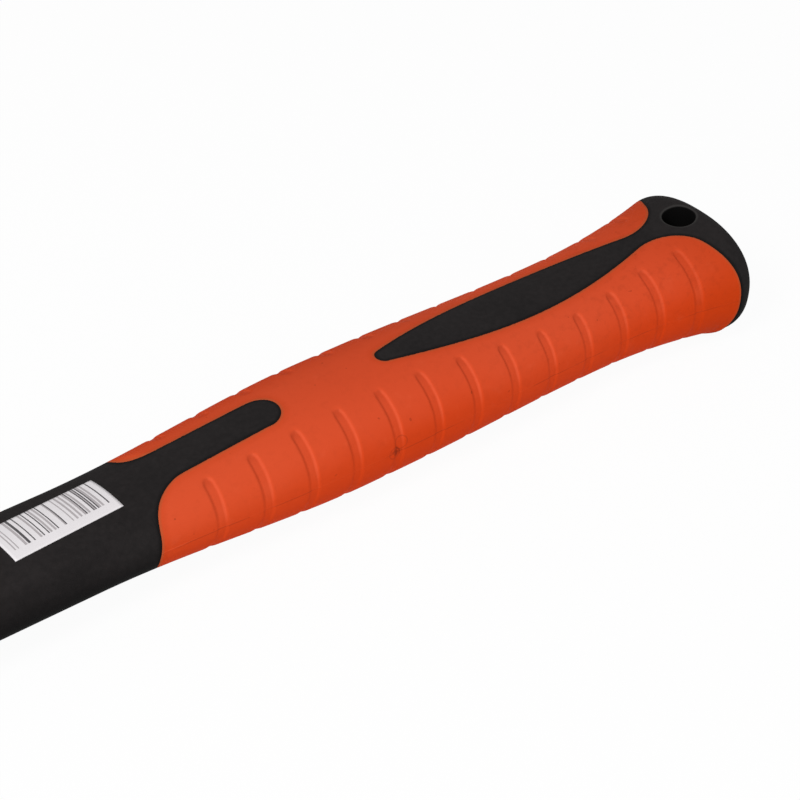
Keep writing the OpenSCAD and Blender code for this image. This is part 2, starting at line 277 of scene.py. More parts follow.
def grooveDepth(s, y, z, under):
    flat = z / halfSize(s, "T")  # 1 on the flat side, 0 on the narrow one
    middle, half = grooveMiddle(s), grip["grooveW"] / 2
    fan = grip["fan"] * (middle - grip["fanS"])
    if under:
        lean = fan + grip["underLean"] * (middle - grip["underS"]) * flat ** grip["underBow"]
        share = ease((flat - grip["underZ"]) / (1 - grip["underZ"]))
    else:
        lean = fan * (1 - flat)
        share = ease(flat / grip["sideZ"])
    away = np.hypot(s - middle - lean, np.maximum(0, grooveStart(s) - np.abs(y))) / half
    deep = grip["sideShare"] + (1 - grip["sideShare"]) * share
    return deep * (1 - ease((away - grip["grooveFloor"]) / (1 - grip["grooveFloor"])))


def rowStations():
    middles = grip["grooveS"] + grip["pitch"] * np.arange(grip["grooves"])
    acrossGrooves = (middles[:, None] + np.arange(*grip["grooveRows"])).ravel()
    nearTip = np.array(grip["nearTip"])
    loose = np.concatenate([
        evenly(rearSeam, seam["step"]), evenly(frontSeam, seam["step"]),
        np.arange(rearS, frontS, grip["rowStep"]), acrossGrooves, tipS + nearTip, tongueS - nearTip])
    rows = [rearS, tipS, tongueS, frontS]
    for s in np.sort(loose):
        if rearS < s < frontS and np.min(np.abs(np.array(rows) - s)) > grip["rowGap"]:
            rows.append(s)
    return np.sort(np.array(rows))


def spread(length, fromSeam, fromSide, count):
    # distances of the columns from the seam, close together at both ends
    ends = np.array(fromSeam + fromSide)
    scale = np.minimum(1, length / (2 * (max(fromSeam) + max(fromSide))))[:, None]
    first = np.array(fromSeam) * scale
    last = length[:, None] - np.array(fromSide[::-1]) * scale
    share = np.linspace(0, 1, count - len(ends) + 2)[1:-1]
    middle = first[:, -1:] + (last[:, :1] - first[:, -1:]) * share
    return abreast(first, middle, last)


def anglesAt(rows, start, end, columns):
    # angles of the columns between two angles of each section, evenly by length
    fine = np.linspace(0, 1, fineSteps)
    angle = start[:, None] + (end - start)[:, None] * fine
    y, z = sectionPoint(rows[:, None], angle, 0)
    run = np.cumsum(np.hypot(np.diff(y, axis=1), np.diff(z, axis=1)), axis=1)
    run = abreast(np.zeros((len(rows), 1)), run)
    wanted = columns(run[:, -1])
    return np.stack([np.interp(w, r, a) for w, r, a in zip(wanted, run, angle)]), wanted


def rolled(distance, radius):  # how far a rounded edge lies below the surface
    reach = np.clip(radius - distance, 0, radius)
    return radius - np.sqrt(np.maximum(0, radius ** 2 - reach ** 2))


def quads(rows, columns):
    i = np.arange(rows - 1)[:, None] * columns
    j = np.arange(columns)[None, :]
    k = (j + 1) % columns
    return np.stack([i + j, i + k, i + k + columns, i + j + columns], axis=-1).reshape(-1, 4)


def addPiece(name, points, faces, attributes, finish, node, change=None):
    mesh = bpy.data.meshes.new(name)
    mesh.from_pydata(points.tolist(), [], [list(f) for f in faces])
    for key, values in attributes.items():
        mesh.attributes.new(key, "FLOAT", "POINT").data.foreach_set("value", values.astype(np.float32))
    piece = bpy.data.objects.new(name, mesh)
    scene.collection.objects.link(piece)
    work = bmesh.new()
    work.from_mesh(mesh)
    bmesh.ops.remove_doubles(work, verts=work.verts, dist=weld["near"])
    bmesh.ops.dissolve_degenerate(work, edges=work.edges, dist=weld["thin"])
    if change:
        change(work)
    bmesh.ops.recalc_face_normals(work, faces=work.faces)
    print(name, len(work.faces), "faces,", sum(not e.is_manifold for e in work.edges), "open edges")
    work.to_mesh(mesh)
    work.free()
    mesh.shade_smooth()
    mesh.materials.append(finish)
    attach(piece, "root")
    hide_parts(node)


# Shaders: a Wire is a socket that can stand in plain sums.
class Wire:
    def __init__(self, tree, socket):
        self.tree, self.socket = tree, socket

    def add(self, kind, settings, sockets, out=0):
        node = self.tree.nodes.new(kind)
        for key, value in settings.items():
            setattr(node, key, value)
        for key, value in sockets.items():
            if isinstance(value, Wire):
                self.tree.links.new(value.socket, node.inputs[key])
            else:
                node.inputs[key].default_value = value
        return Wire(self.tree, node.outputs[out])

    def math(self, operation, a, b):
        return self.add("ShaderNodeMath", {"operation": operation}, {0: a, 1: b})

    def __add__(self, other):
        return self.math("ADD", self, other)

    def __sub__(self, other):
        return self.math("SUBTRACT", self, other)

    def __rsub__(self, other):
        return self.math("SUBTRACT", other, self)

    def __mul__(self, other):
        return self.math("MULTIPLY", self, other)

    def __truediv__(self, other):
        return self.math("DIVIDE", self, other)

    __radd__ = __add__
    __rmul__ = __mul__

    def between(self, low, high):  # 0 below low, 1 above high
        return self.add("ShaderNodeMapRange", {"interpolation_type": "SMOOTHSTEP"},
                        {"Value": self, "From Min": low, "From Max": high})

    def noise(self, size, detail=2.0, rough=0.5):  # self is a place, size in millimetres
        return self.add("ShaderNodeTexNoise", {}, {"Vector": self, "Scale": 1 / (size * mm),
                                                   "Detail": detail, "Roughness": rough})

    def part(self, number):  # one coordinate of a place
        return self.add("ShaderNodeSeparateXYZ", {}, {0: self}, out=number)

    def stretch(self, x, y, z):
        return self.add("ShaderNodeVectorMath", {"operation": "MULTIPLY"}, {0: self, 1: (x, y, z)})

    def scatter(self, step):  # one random value for each step of a length
        cell = self.add("ShaderNodeMath", {"operation": "FLOOR"}, {0: self / step})
        return self.add("ShaderNodeTexWhiteNoise", {"noise_dimensions": "1D"}, {"W": cell}, out="Value")

    def mix(self, a, b):  # self is the share of colour b
        return self.add("ShaderNodeMix", {"data_type": "RGBA", "clamp_factor": True},
                        {0: self, 6: a, 7: b}, out=2)

    def blend(self, look, first, second):  # from the first shade of a look to the second
        return self.mix(colour(*look[first]), colour(*look[second]))

    def under(self, look, *layers):  # self is a colour, and shades of a look lie over it by their shares
        tone = self
        for share, shade in layers:
            tone = share.mix(tone, colour(*look[shade]))
        return tone

    def facing(self):  # direction in which the surface faces
        return self.add("ShaderNodeNewGeometry", {}, {}, out="Normal")

    def station(self):  # self is a place, and its station is in millimetres
        return (axis.x - self.part(0)) / mm

    def attribute(self, name):
        return self.add("ShaderNodeAttribute", {"attribute_name": name}, {}, out="Fac")

    def apart(self, point):  # millimetres from a fixed point to a place
        ends = {0: self, 1: tuple(point)}
        return self.add("ShaderNodeVectorMath", {"operation": "DISTANCE"}, ends, out="Value") / mm

    def ring(self, point, radius, width):  # 1 on a circle about a point of the surface
        off = self.apart(point) - radius
        return 1 - off.math("ABSOLUTE", off, 0).between(0, width)

    def bump(self, depth, under=None):  # self is a height from 0 to 1, depth in millimetres
        sockets = {"Height": self, "Distance": depth * mm}
        return self.add("ShaderNodeBump", {}, sockets | ({"Normal": under} if under else {}))


def colour(red, green, blue):  # display values from 0 to 255
    return (*[((v / 255 + 0.055) / 1.055) ** 2.4 for v in (red, green, blue)], 1)


def newFinish(name):
    finish = bpy.data.materials.new(name)
    finish.use_nodes = True
    finish.node_tree.nodes.clear()
    tree = finish.node_tree
    place = Wire(tree, tree.nodes.new("ShaderNodeTexCoord").outputs["Object"])
    return finish, place


def finishWith(surface, kind="ShaderNodeOutputMaterial"):
    output = surface.tree.nodes.new(kind)
    surface.tree.links.new(surface.socket, output.inputs["Surface"])


def coat(place, sockets):
    finishWith(place.add("ShaderNodeBsdfPrincipled", {}, sockets))


softOrange = {
    "edge": (202, 63, 22), "broad": (206, 74, 41), "broadTilt": (0.25, 1.15),  # painted sheen on the broad sides, painted shade on the narrow ones
    "cloud": 14.0, "cloudShare": 0.4, "cloudRough": 0.1,
    "front": (201, 79, 46), "frontShare": 0.45, "frontRun": (90, 185),  # duller towards the head
    # a paler colour for wear, also used for the painted highlight on the groove walls
    "wornAndHighlight": (212, 86, 54), "wornShare": 0.2, "wornSize": 5.0, "wornCut": (0.58, 0.75), "wornSmooth": 0.2,
    "palmShare": 0.2, "palmRise": (30, 60), "palmFall": (70, 110),  # rubbed where the palm lies
    # the dark colour of grime, also used for painted shade in the grooves
    "dirtAndShade": (120, 40, 20),
    "lineShare": 0.45, "lineWidth": (0.05, 0.22),  # parting line
    "lineSize": 9.0, "lineCut": (0.4, 0.6),
    "highlightShare": 0.6, "highlightRise": (0.08, 0.4), "highlightFall": (0.8, 1.0),  # painted highlight on the walls of grooves
    "highlightTilt": (-0.1, 0.5), "highlightSide": (-0.3, 0.05),
    "floorShare": 0.05, "floorRise": (0.4, 0.95),  # painted shade on their floors
    "tipShare": 0.2, "tipRise": (0.05, 0.5), "tipSide": (-0.3, -0.05),  # and more painted shade at their ends
    "mottle": 2.4, "mottleCut": (0.47, 0.72),
    "mottleShare": 0.07, "mottleMore": 0.11, "mottleRun": (20, 110),  # more towards the butt
    "speck": 1.1, "speckCut": (0.84, 0.87), "speckShare": 0.4,
    "deep": (203, 57, 6), "deepShare": 0.7, "lowTilt": (-0.5, 0.45),  # painted shade: deeper underneath
    "deepTilt": (0.1, 0.7), "deepRun": (70, 130),  # and painted shade along the far side
    "far": (226, 80, 42), "farShare": 0.45,  # painted light: brighter at its rear
    "farTilt": (0.1, 0.6), "farRun": (60, 100),
    "butt": (176, 53, 5), "buttShare": 0.45, "buttRun": (4, 32),  # painted shade: darker at the butt end
    "buttSeam": (0.3, 2.6), "buttSeamShare": 0.5,  # and painted shade by the seam there
    "seam": (152, 84, 50), "seamShare": 0.5, "seamWidth": (0.1, 0.9),
    "gates": [((115.4, -17.8, 2.3), 1.7), ((117.4, -17.95, 0.0), 1.5)],  # marks of the mould
    "gateWidth": 0.22, "gateShare": 0.28, "gateDepth": 0.06,
    "smudge": (116.9, -17.95, 0.2), "smudgeReach": (0.2, 2.0),  # dirt caught by a mark
    "smudgeShare": 0.7, "smudgeSize": 0.9, "smudgeCut": (0.42, 0.6),
    "rough": 0.65, "specular": 0.03, "grain": 0.35, "grainDepth": 0.012,
}


def softOrangeFinish():
    finish, place = newFinish("soft orange grip")
    look = softOrange
    cloud = place.noise(look["cloud"], 3)
    station, facing = place.station(), place.facing()
    along, across, up = (facing.part(k) for k in range(3))
    # painted sheen: paler where the surface faces up or down, deeper on the narrow sides
    broad = (up.math("ABSOLUTE", up, 0) + cloud * look["cloudShare"]).between(*look["broadTilt"])
    paleMark = place.noise(look["wornSize"], 4, 0.6).between(*look["wornCut"]) * look["wornShare"]
    palm = station.between(*look["palmRise"]) * (1 - station.between(*look["palmFall"]))
    line = 1 - place.attribute("parting").between(*look["lineWidth"])
    line = line * place.noise(look["lineSize"], 1).between(*look["lineCut"])
    groove = place.attribute("groove")
    # painted highlight on the groove walls that face up and towards the head
    grooveHighlights = groove.between(*look["highlightRise"]) * (1 - groove.between(*look["highlightFall"]))
    grooveHighlights = grooveHighlights * up.between(*look["highlightTilt"]) * (1 - along.between(*look["highlightSide"]))
    # painted shade on the groove floors and at the groove ends
    tips = groove.between(*look["tipRise"]) * place.attribute("grooveEnd") * along.between(*look["tipSide"])
    floors = groove.between(*look["floorRise"]) * look["floorShare"] + tips * look["tipShare"]
    handled = look["mottleShare"] + look["mottleMore"] * (1 - station.between(*look["mottleRun"]))
    mottle = place.noise(look["mottle"], 4, 0.7).between(*look["mottleCut"])
    specks = place.noise(look["speck"], 0).between(*look["speckCut"])
    # painted shade on faces turned down, and on the far side towards the head
    low = 1 - up.between(*look["lowTilt"])
    deep = low.math("MAXIMUM", low, across.between(*look["deepTilt"]) * station.between(*look["deepRun"]))
    # painted light on the far side towards the butt
    far = across.between(*look["farTilt"]) * (1 - station.between(*look["farRun"]))
    fromSeam = place.attribute("seam")
    # painted shade towards the butt end and by the seam there
    butt = 1 - station.between(*look["buttRun"])
    butt = butt.math("MAXIMUM", butt, (1 - fromSeam.between(*look["buttSeam"])) * look["buttSeamShare"])
    gates = sum(place.ring(toPart(*at), radius, look["gateWidth"]) for at, radius in look["gates"])
    smudge = 1 - place.apart(toPart(*look["smudge"])).between(*look["smudgeReach"])
    smudge = smudge * place.noise(look["smudgeSize"], 2).between(*look["smudgeCut"])
    tone = broad.blend(look, "edge", "broad").under(
        look, (station.between(*look["frontRun"]) * look["frontShare"], "front"), (paleMark, "wornAndHighlight"),
        (palm * look["palmShare"], "wornAndHighlight"), (line * look["lineShare"], "dirtAndShade"),
        (grooveHighlights * look["highlightShare"], "wornAndHighlight"), (floors, "dirtAndShade"), (mottle * handled, "dirtAndShade"),
        (specks * look["speckShare"], "dirtAndShade"), (deep * look["deepShare"], "deep"),
        (far * look["farShare"], "far"), (butt * look["buttShare"], "butt"),
        ((1 - fromSeam.between(*look["seamWidth"])) * look["seamShare"], "seam"),
        (gates * look["gateShare"], "dirtAndShade"), (smudge * look["smudgeShare"], "dirtAndShade"))
    normal = place.noise(look["grain"], 2).bump(look["grainDepth"], gates.bump(look["gateDepth"]))
    rough = look["rough"] + cloud * look["cloudRough"] - paleMark * look["wornSmooth"]
    coat(place, {"Base Color": tone, "Roughness": rough, "Specular IOR Level": look["specular"],
                 "Normal": normal})
    return finish


hardBlack = {
    "colour": (31, 29, 29), "pale": (41, 38, 38), "dark": (4, 4, 4), "paleMark": (58, 56, 55),
    "cloud": 20.0, "cloudRough": 0.1, "mottle": 1.4, "mottleCut": (0.28, 0.74),
    "lowShare": 0.75, "lowTilt": (-0.6, 0.5), "endTilt": (0.2, 0.9),  # painted shade underneath and on the end
    "shankShare": 0.3, "shankRun": (180, 205), "shankTilt": (0.5, 0.95),  # and painted shade along the shank's sides
    "seamShare": 0.55, "seamWidth": (0.1, 1.2),
    "highlightShare": 0.8, "highlightRise": (0.05, 0.2), "highlightFall": (0.4, 0.9),  # painted highlight round the mouth of the hole
    # painted shade inside the hole
    "boreShare": 0.7, "boreEdge": (0.01, 0.06),
    "rough": 0.7, "specular": 0.03, "grain": 0.45, "grainDepth": 0.02,
    "pin": ((187.6, -9.5, 7.0), 1.8), "pinWidth": 0.25, "pinDepth": 0.05,  # mark of an ejector pin
}
hole = {"s": 9.6, "d": 8.6, "round": 0.6, "land": 0.35, "sides": 64, "steps": 8}


def hardBlackFinish():
    finish, place = newFinish("hard black jacket")
    look = hardBlack
    facing = place.facing()
    cloud = place.noise(look["cloud"], 3)
    mottle = (cloud + place.noise(look["mottle"], 3, 0.6)) / 2
    # painted shade on faces turned down and on the end face of the butt
    low = 1 - facing.part(2).between(*look["lowTilt"])
    low = low.math("MAXIMUM", low, facing.part(0).between(*look["endTilt"]))
    # painted shade on the sides of the shank
    shank = place.station().between(*look["shankRun"]) * (1 - facing.part(2).between(*look["shankTilt"]))
    edge = 1 - place.attribute("seam").between(*look["seamWidth"])
    middle = toPart(hole["s"], 0, 0)
    fromAxis = place.stretch(1, 1, 0).apart((middle[0], middle[1], 0))
    mouth = fromAxis - hole["d"] / 2  # millimetres outside the wall of the hole
    # painted highlight round the mouth of the hole
    paleMark = mouth.between(*look["highlightRise"]) * (1 - mouth.between(*look["highlightFall"]))
    # painted shade inside the hole
    bore = 1 - mouth.between(*look["boreEdge"])
    tone = mottle.between(*look["mottleCut"]).blend(look, "colour", "pale").under(
        look, (low * look["lowShare"], "dark"), (shank * look["shankShare"], "dark"),
        (edge * look["seamShare"], "dark"), (paleMark * look["highlightShare"], "paleMark"),
        (bore * look["boreShare"], "dark"))
    at, radius = look["pin"]
    pin = place.ring(toPart(*at), radius, look["pinWidth"]).bump(look["pinDepth"])
    grain = place.noise(look["grain"], 3, 0.6)
    coat(place, {"Base Color": tone, "Roughness": look["rough"] + cloud * look["cloudRough"],
                 "Specular IOR Level": look["specular"], "Normal": grain.bump(look["grainDepth"], pin)})
    return finish


def downwards(quarter, sign, lower=None):  # from the top over the side to the bottom
    lower = quarter if lower is None else lower
    return abreast(quarter, sign * lower[:, -2::-1])


def makeGrip():
    rows = rowStations()
    top, side = seamAngle(rows), np.zeros_like(rows)
    angle, run = anglesAt(rows, top, side, lambda full: spread(full, grip["fromSeam"], grip["fromSide"],
                                                               grip["columns"]))
    s = np.repeat(rows[:, None], grip["columns"], axis=1)
    y, z = sectionPoint(s, angle, 0)
    groove, underGroove = grooveDepth(s, y, z, False), grooveDepth(s, y, z, True)
    grooveEnd = ease((grooveStart(s) - np.abs(y)) / grip["grooveW"] + 0.5)
    parting = run[:, -1:] - run  # distance from the parting line
    front = np.exp(-((s - grip["frontFlashS"]) / grip["frontFlashL"]) ** 2)
    ridge = (grip["flash"] + grip["frontFlash"] * front) * (1 - ease(parting / grip["flashW"]))
    fromEdge = seamDistance(s, y, z)
    inset = rolled(fromEdge, grip["edge"]) - ridge
    fromLip = np.hypot(s - grip["lipS"], z - grip["lipZ"]) / grip["lipL"]
    lip = grip["lip"] * np.exp(-fromLip ** 2) * (1 - ease(fromEdge / grip["lipW"]))
    evenShares = np.linspace(0, 1, grip["innerColumns"])
    inner, _ = anglesAt(rows, top, side, lambda full: full[:, None] * evenShares)
    innerY, innerZ = sectionPoint(rows[:, None], inner, grip["skin"] - form["fitGap"])
    insideY, insideZ = downwards(innerY, 1)[:, ::-1], downwards(innerZ, -1)[:, ::-1]
    halves = []
    for way, share, proud in ((1, grip["farShare"], 0), (-1, 1, lip)):
        y, z = sectionPoint(s, angle, inset + share * grip["grooveD"] * groove)
        lowY, lowZ = sectionPoint(s, angle, inset + share * grip["grooveD"] * underGroove - proud)
        ringY = abreast(downwards(y, 1, lowY), insideY)
        ringZ = abreast(downwards(z, -1, lowZ), insideZ)
        stations = np.broadcast_to(rows[:, None], ringY.shape)
        halves.append(toPart(*settle(stations, way * ringY, ringZ)).reshape(-1, 3))
    outside, total = 2 * grip["columns"] - 1, ringY.shape[1]
    free = (rows >= tipS) & (rows <= tongueS)  # no black field: both sides are one
    keep = np.ones((len(rows) - 1, total), bool)
    for wall in (outside - 1, total - 1):
        keep[free[:-1] & free[1:], wall] = False
    faces = quads(len(rows), total)[keep.ravel()]

    def allRound(upper, lower=None, inside=0):  # values for every point of both halves
        hidden = np.full((len(rows), total - outside), inside)
        return np.tile(abreast(downwards(upper, 1, lower), hidden).ravel(), 2)

    attributes = {"groove": allRound(groove, underGroove), "grooveEnd": allRound(grooveEnd),
                  "parting": allRound(parting, inside=farAway), "seam": allRound(fromEdge, inside=farAway)}
    addPiece("gripSleeve", np.concatenate(halves),
             np.concatenate([faces, faces[:, ::-1] + len(halves[0])]),
             attributes, softOrangeFinish(), "soft_grip")


makeGrip()
print("soft grip made")

jacket = {
    "edge": 0.14,  # rounding along the seam
    "fieldColumns": 30, "seatColumns": 7, "rimRows": 14,
    "fromSeam": [0, 0.02, 0.05, 0.09, 0.15, 0.3, 0.6],  # columns that follow the seam
    "rimGap": 0.1, "shankStart": 1.0, "shankStep": 2.5,  # rows by the ends of the grip and along the shank
    "domeShares": [0, 0.12, 0.28, 0.45, 0.62, 0.78, 0.9, 0.97],
    "coreW": 20.0, "coreT": 12.0, "coreEnd": 24.0,  # bore for the glass-fibre core
    "eyeW": 28.0, "eyeT": 18.0, "eyeFlare": 1.2,  # neck inside the eye of the head
    "ovalRun": 4.0,  # spreads points along the straight of an oval
}


def surfaceHeight(s, y):
    return sectionPoint(s, angleAt(s, np.abs(y)), 0)[1]


def joinRings(work, first, second):
    for i in range(len(first)):
        k = (i + 1) % len(first)
        work.faces.new((first[i], first[k], second[k], second[i]))


def fillBetween(work, near, normal):  # from the cut surface to the first ring of a mouth
    edges = [e for e in work.edges if e.is_boundary and all(near(v.co) for v in e.verts)]
    bmesh.ops.triangle_fill(work, edges=edges, use_beauty=True, normal=normal)


def drillHole(work):
    centre = Vector(toPart(hole["s"], 0, 0))
    reach = hole["d"] / 2 + hole["round"] + hole["land"]
    gone = [f for f in work.faces
            if any(math.hypot(v.co.x - centre.x, v.co.y - centre.y) < reach * mm for v in f.verts)]
    bmesh.ops.delete(work, geom=gone, context="FACES")
    turn = np.linspace(0, 2 * math.pi, hole["sides"], endpoint=False)
    mouths = []
    for side in (1, -1):
        rings = []
        for lean in np.linspace(0, math.pi / 2, hole["steps"]):
            r = hole["d"] / 2 + hole["round"] * (1 - math.sin(lean))
            s, y = hole["s"] + r * np.cos(turn), r * np.sin(turn)
            z = side * (surfaceHeight(s, y) - hole["round"] * (1 - math.cos(lean)))
            rings.append([work.verts.new(p) for p in toPart(s, y, z)])
        for upper, lower in zip(rings, rings[1:]):
            joinRings(work, upper, lower)
        mouths.append(rings)
    joinRings(work, mouths[0][-1], mouths[1][-1])
    for side in (1, -1):
        fillBetween(work, lambda p: side * (p.z - centre.z) > 0
                    and math.hypot(p.x - centre.x, p.y - centre.y) < 2 * reach * mm, (0, 0, side))


def ovalRing(s, width, thick, angles):  # two half circles and the straight between them
    y = (width - thick) / 2 * np.clip(jacket["ovalRun"] * np.cos(angles), -1, 1)
    return toPart(np.full_like(angles, s), y + thick / 2 * np.cos(angles), thick / 2 * np.sin(angles))


def makeJacket():
    rim = form["buttR"] * (1 - np.cos(np.linspace(0, math.pi / 2, jacket["rimRows"])))
    shank = np.arange(frontS + jacket["shankStart"], shoulderS, jacket["shankStep"])
    rows = np.concatenate([rim[rim < rearS - jacket["rimGap"]], [rearS - form["fitGap"]], rowStations(),
                           [frontS + form["fitGap"]], shank, [shoulderS]])
    top, seamAt, side = np.full_like(rows, math.pi / 2), seamAngle(rows), np.zeros_like(rows)
    count, seatCount = jacket["fieldColumns"], jacket["seatColumns"]
    field, _ = anglesAt(rows, top, seamAt, lambda full: full[:, None]
                        - spread(full, jacket["fromSeam"], [0], count)[:, ::-1])
    seat, _ = anglesAt(rows, seamAt, side, lambda full: full[:, None] * np.linspace(0, 1, seatCount))
    s = rows[:, None]

    def fromEdge(y, z):
        return seamDistance(np.broadcast_to(s, y.shape), y, z)

    edge = rolled(fromEdge(*sectionPoint(s, field, 0)), jacket["edge"])
    free = (s > tipS) & (s < tongueS)
    black = (s < rearS) | (s > frontS)
    fieldY, fieldZ = sectionPoint(s, field, np.where(free, grip["skin"], edge))
    seatY, seatZ = sectionPoint(s, seat, np.where(black, edge[:, -1:], grip["skin"]))
    distance = downwards(abreast(fromEdge(fieldY, fieldZ), fromEdge(seatY, seatZ)), 1)
    distance = abreast(distance, distance[:, -2:0:-1])
    rightY = downwards(abreast(fieldY, seatY), 1)
    rightZ = downwards(abreast(fieldZ, seatZ), -1)
    ringY = abreast(rightY, -rightY[:, -2:0:-1])
    ringZ = abreast(rightZ, rightZ[:, -2:0:-1])
    around = ringY.shape[1]
    rings = [toPart(*settle(np.full(around, a), b, c)) for a, b, c in zip(rows, ringY, ringZ)]
    domes = [toPart(np.full(around, -form["dome"] * (1 - k * k)), ringY[0] * k, ringZ[0] * k)
             for k in jacket["domeShares"]]
    angles = np.arctan2(ringZ[-1], ringY[-1])
    gap = form["fitGap"]
    flare = 2 * (jacket["eyeFlare"] - gap)
    eyeS = (axis.x - (headLow.x + headHigh.x) / 2) / mm
    bore = [(eyeS, 2 * gap), (jacket["coreEnd"], 2 * gap), (jacket["coreEnd"], -jacket["coreT"])]
    neck = [ovalRing(shoulderS, jacket["eyeW"] + flare, jacket["eyeT"] + flare, angles),
            ovalRing(eyeS, jacket["eyeW"] - 2 * gap, jacket["eyeT"] - 2 * gap, angles)]
    neck += [ovalRing(at, jacket["coreW"] + more, jacket["coreT"] + more, angles) for at, more in bore]
    place = np.arange(around) % (around // 2)
    column = np.minimum(place, around // 2 - 1 - place)
    closed = (rows >= tipS) & (rows <= tongueS)  # no field where the grip closes over it
    noField = (closed[:-1] & closed[1:])[:, None] & (column < count)
    noSeat = (black[:-1] ^ black[1:]) & (column >= count - 1)
    keep = np.ones((len(domes) + len(rows) + len(neck) - 1, around), bool)
    keep[len(domes):len(domes) + len(rows) - 1] = ~(noField | noSeat)
    rings = domes + rings + neck
    faces = quads(len(rings), around)[keep.ravel()]
    plain = [np.full(around, farAway)]
    seams = np.concatenate(plain * len(domes) + list(distance) + plain * len(neck))
    addPiece("handleJacket", np.concatenate(rings), faces, {"seam": seams}, hardBlackFinish(),
             "handle_jacket", drillHole)


makeJacket()
print("jacket made")

label = {
    "s": 183.0, "y": 0.7, "turn": 3.3, "long": 28.0, "wide": 12.4, "thick": 0.15,
    "rows": 41, "columns": 21,
}
labelPaper = {
    "paper": (226, 222, 224), "grey": (166, 160, 162), "black": (44, 41, 44),
    "wideBar": 0.52, "thinBar": 0.3, "margin": 1.7, "strip": 2.6,  # millimetres
    "wideShare": 0.42, "thinShare": 0.22,
    "blackShare": 0.45, "blackRun": 7,  # thin bars that turn black together
    "blur": 0.07, "step": 0.01, "ink": 0.96,
    "cloud": 3.0, "cloudShare": 0.12, "rough": 0.42, "roughSize": 2.0, "roughMore": 0.12,
    "specular": 0.4, "grain": 0.6, "grainDepth": 0.006,
}


def labelFinish():
    finish, place = newFinish("label paper")
    look = labelPaper
    along, across = place.attribute("along"), place.attribute("across")

    def bars(width, share):
        return along.scatter(width).between(1 - share, 1 - share + look["step"])

    def past(way, edge):
        return way.between(edge, edge + look["blur"])

    thin = bars(look["thinBar"], look["thinShare"])
    black = thin * bars(look["blackRun"] * look["thinBar"], look["blackShare"])
    ink = black.blend(look, "grey", "black")
    printed = thin.math("MAXIMUM", thin, bars(look["wideBar"], look["wideShare"]))
    inside = past(along, look["margin"]) * (1 - past(along, label["long"] - look["margin"]))
    inside = inside * past(across, look["strip"])
    cloud = place.noise(look["cloud"], 3) * look["cloudShare"]
    paper = cloud.blend(look, "paper", "grey")
    coat(place, {"Base Color": (printed * inside * look["ink"]).mix(paper, ink),
                 "Roughness": look["rough"] + place.noise(look["roughSize"], 2) * look["roughMore"],
                 "Specular IOR Level": look["specular"],
                 "Normal": place.noise(look["grain"], 2).bump(look["grainDepth"])})
    return finish


def makeLabel():
    along = np.linspace(0, label["long"], label["rows"])[:, None]
    across = np.linspace(0, label["wide"], label["columns"])[None, :]
    along, across = np.broadcast_arrays(along, across)
    turn = math.radians(label["turn"])
    a, b = along - label["long"] / 2, across - label["wide"] / 2
    s = label["s"] + label["long"] / 2 + a * math.cos(turn) + b * math.sin(turn)
    y = label["y"] - a * math.sin(turn) + b * math.cos(turn)
    under = surfaceHeight(s, y)
    upper = toPart(s, y, under + label["thick"])
    lower = toPart(s, y, under)
    points = abreast(upper, lower[:, ::-1])
    marks = {name: abreast(way, way[:, ::-1]).ravel()
             for name, way in (("along", along), ("across", across))}
    around = points.shape[1]
    ends = [range(around), range(len(points) * around - around, len(points) * around)]
    addPiece("paperLabel", points.reshape(-1, 3), [*quads(len(points), around), *ends], marks,
             labelFinish(), "label")


makeLabel()
print("label made")

head = {
    "half": 16.5, "face": 60.0, "peen": 70.0, "peenR": 4.0, "peenLift": 4.0,
    "lowStart": 20.0, "topStart": 27.0,  # where the two sides of the peen begin
    "edgeBevel": 4.0, "faceBevel": 2.5, "crownR": 320.0,
    "forgedEdge": 2.2, "groundEdge": 0.9,  # softness of the edges
    "eyeStraight": 5.0, "eyeR": 9.0, "eyeFlare": 1.2, "mouthRound": 0.8, "mouthLand": 0.6,
    "mouthSides": 72, "mouthSteps": 6, "mouthReach": 6.0, "mouthDeep": 0.7,  # where a mouth is filled in
    "corner": [0, 8, 16, 23, 29, 33, 35, 36.5, 38, 39.5, 41, 43, 45,  # angles round a quarter
               47, 49, 50.5, 52, 53.5, 55, 58, 64, 72, 81],
    "faceTilts": [(0, 34, 5), (34, 66, 1.2), (66, 90, 5)], "peenTilts": (84, -1, -6.0),
    "rowStep": 2.0, "rayReach": 3.0, "wearDepth": 0.3,
}
eyeAxis = Vector(((headLow.x + headHigh.x) / 2, axis.y, axis.z))


def toHead(x, y, z):
    return np.stack([eyeAxis.x + x * mm, eyeAxis.y + y * mm, eyeAxis.z + z * mm], axis=-1)


def smoothMax(a, b, k):
    h = np.maximum(k - np.abs(a - b), 0) / k
    return np.maximum(a, b) + h * h * k / 4


def peenSide(x, y, startX, startY, turn):  # flat of the peen that runs into its rounded edge
    centre = np.array([-head["peenLift"], head["peen"] - head["peenR"]])
    v = np.array([startX, startY]) - centre
    a = math.atan2(v[1], v[0]) + turn * math.acos(head["peenR"] / np.linalg.norm(v))
    normal = np.array([math.cos(a), math.sin(a)])
    touch = centre + head["peenR"] * normal
    way = touch - (startX, startY)
    beyond = way[0] * (x - touch[0]) + way[1] * (y - touch[1]) > 0
    flat = normal[0] * (x - touch[0]) + normal[1] * (y - touch[1])
    return np.where(beyond, np.hypot(x - centre[0], y - centre[1]) - head["peenR"], flat)


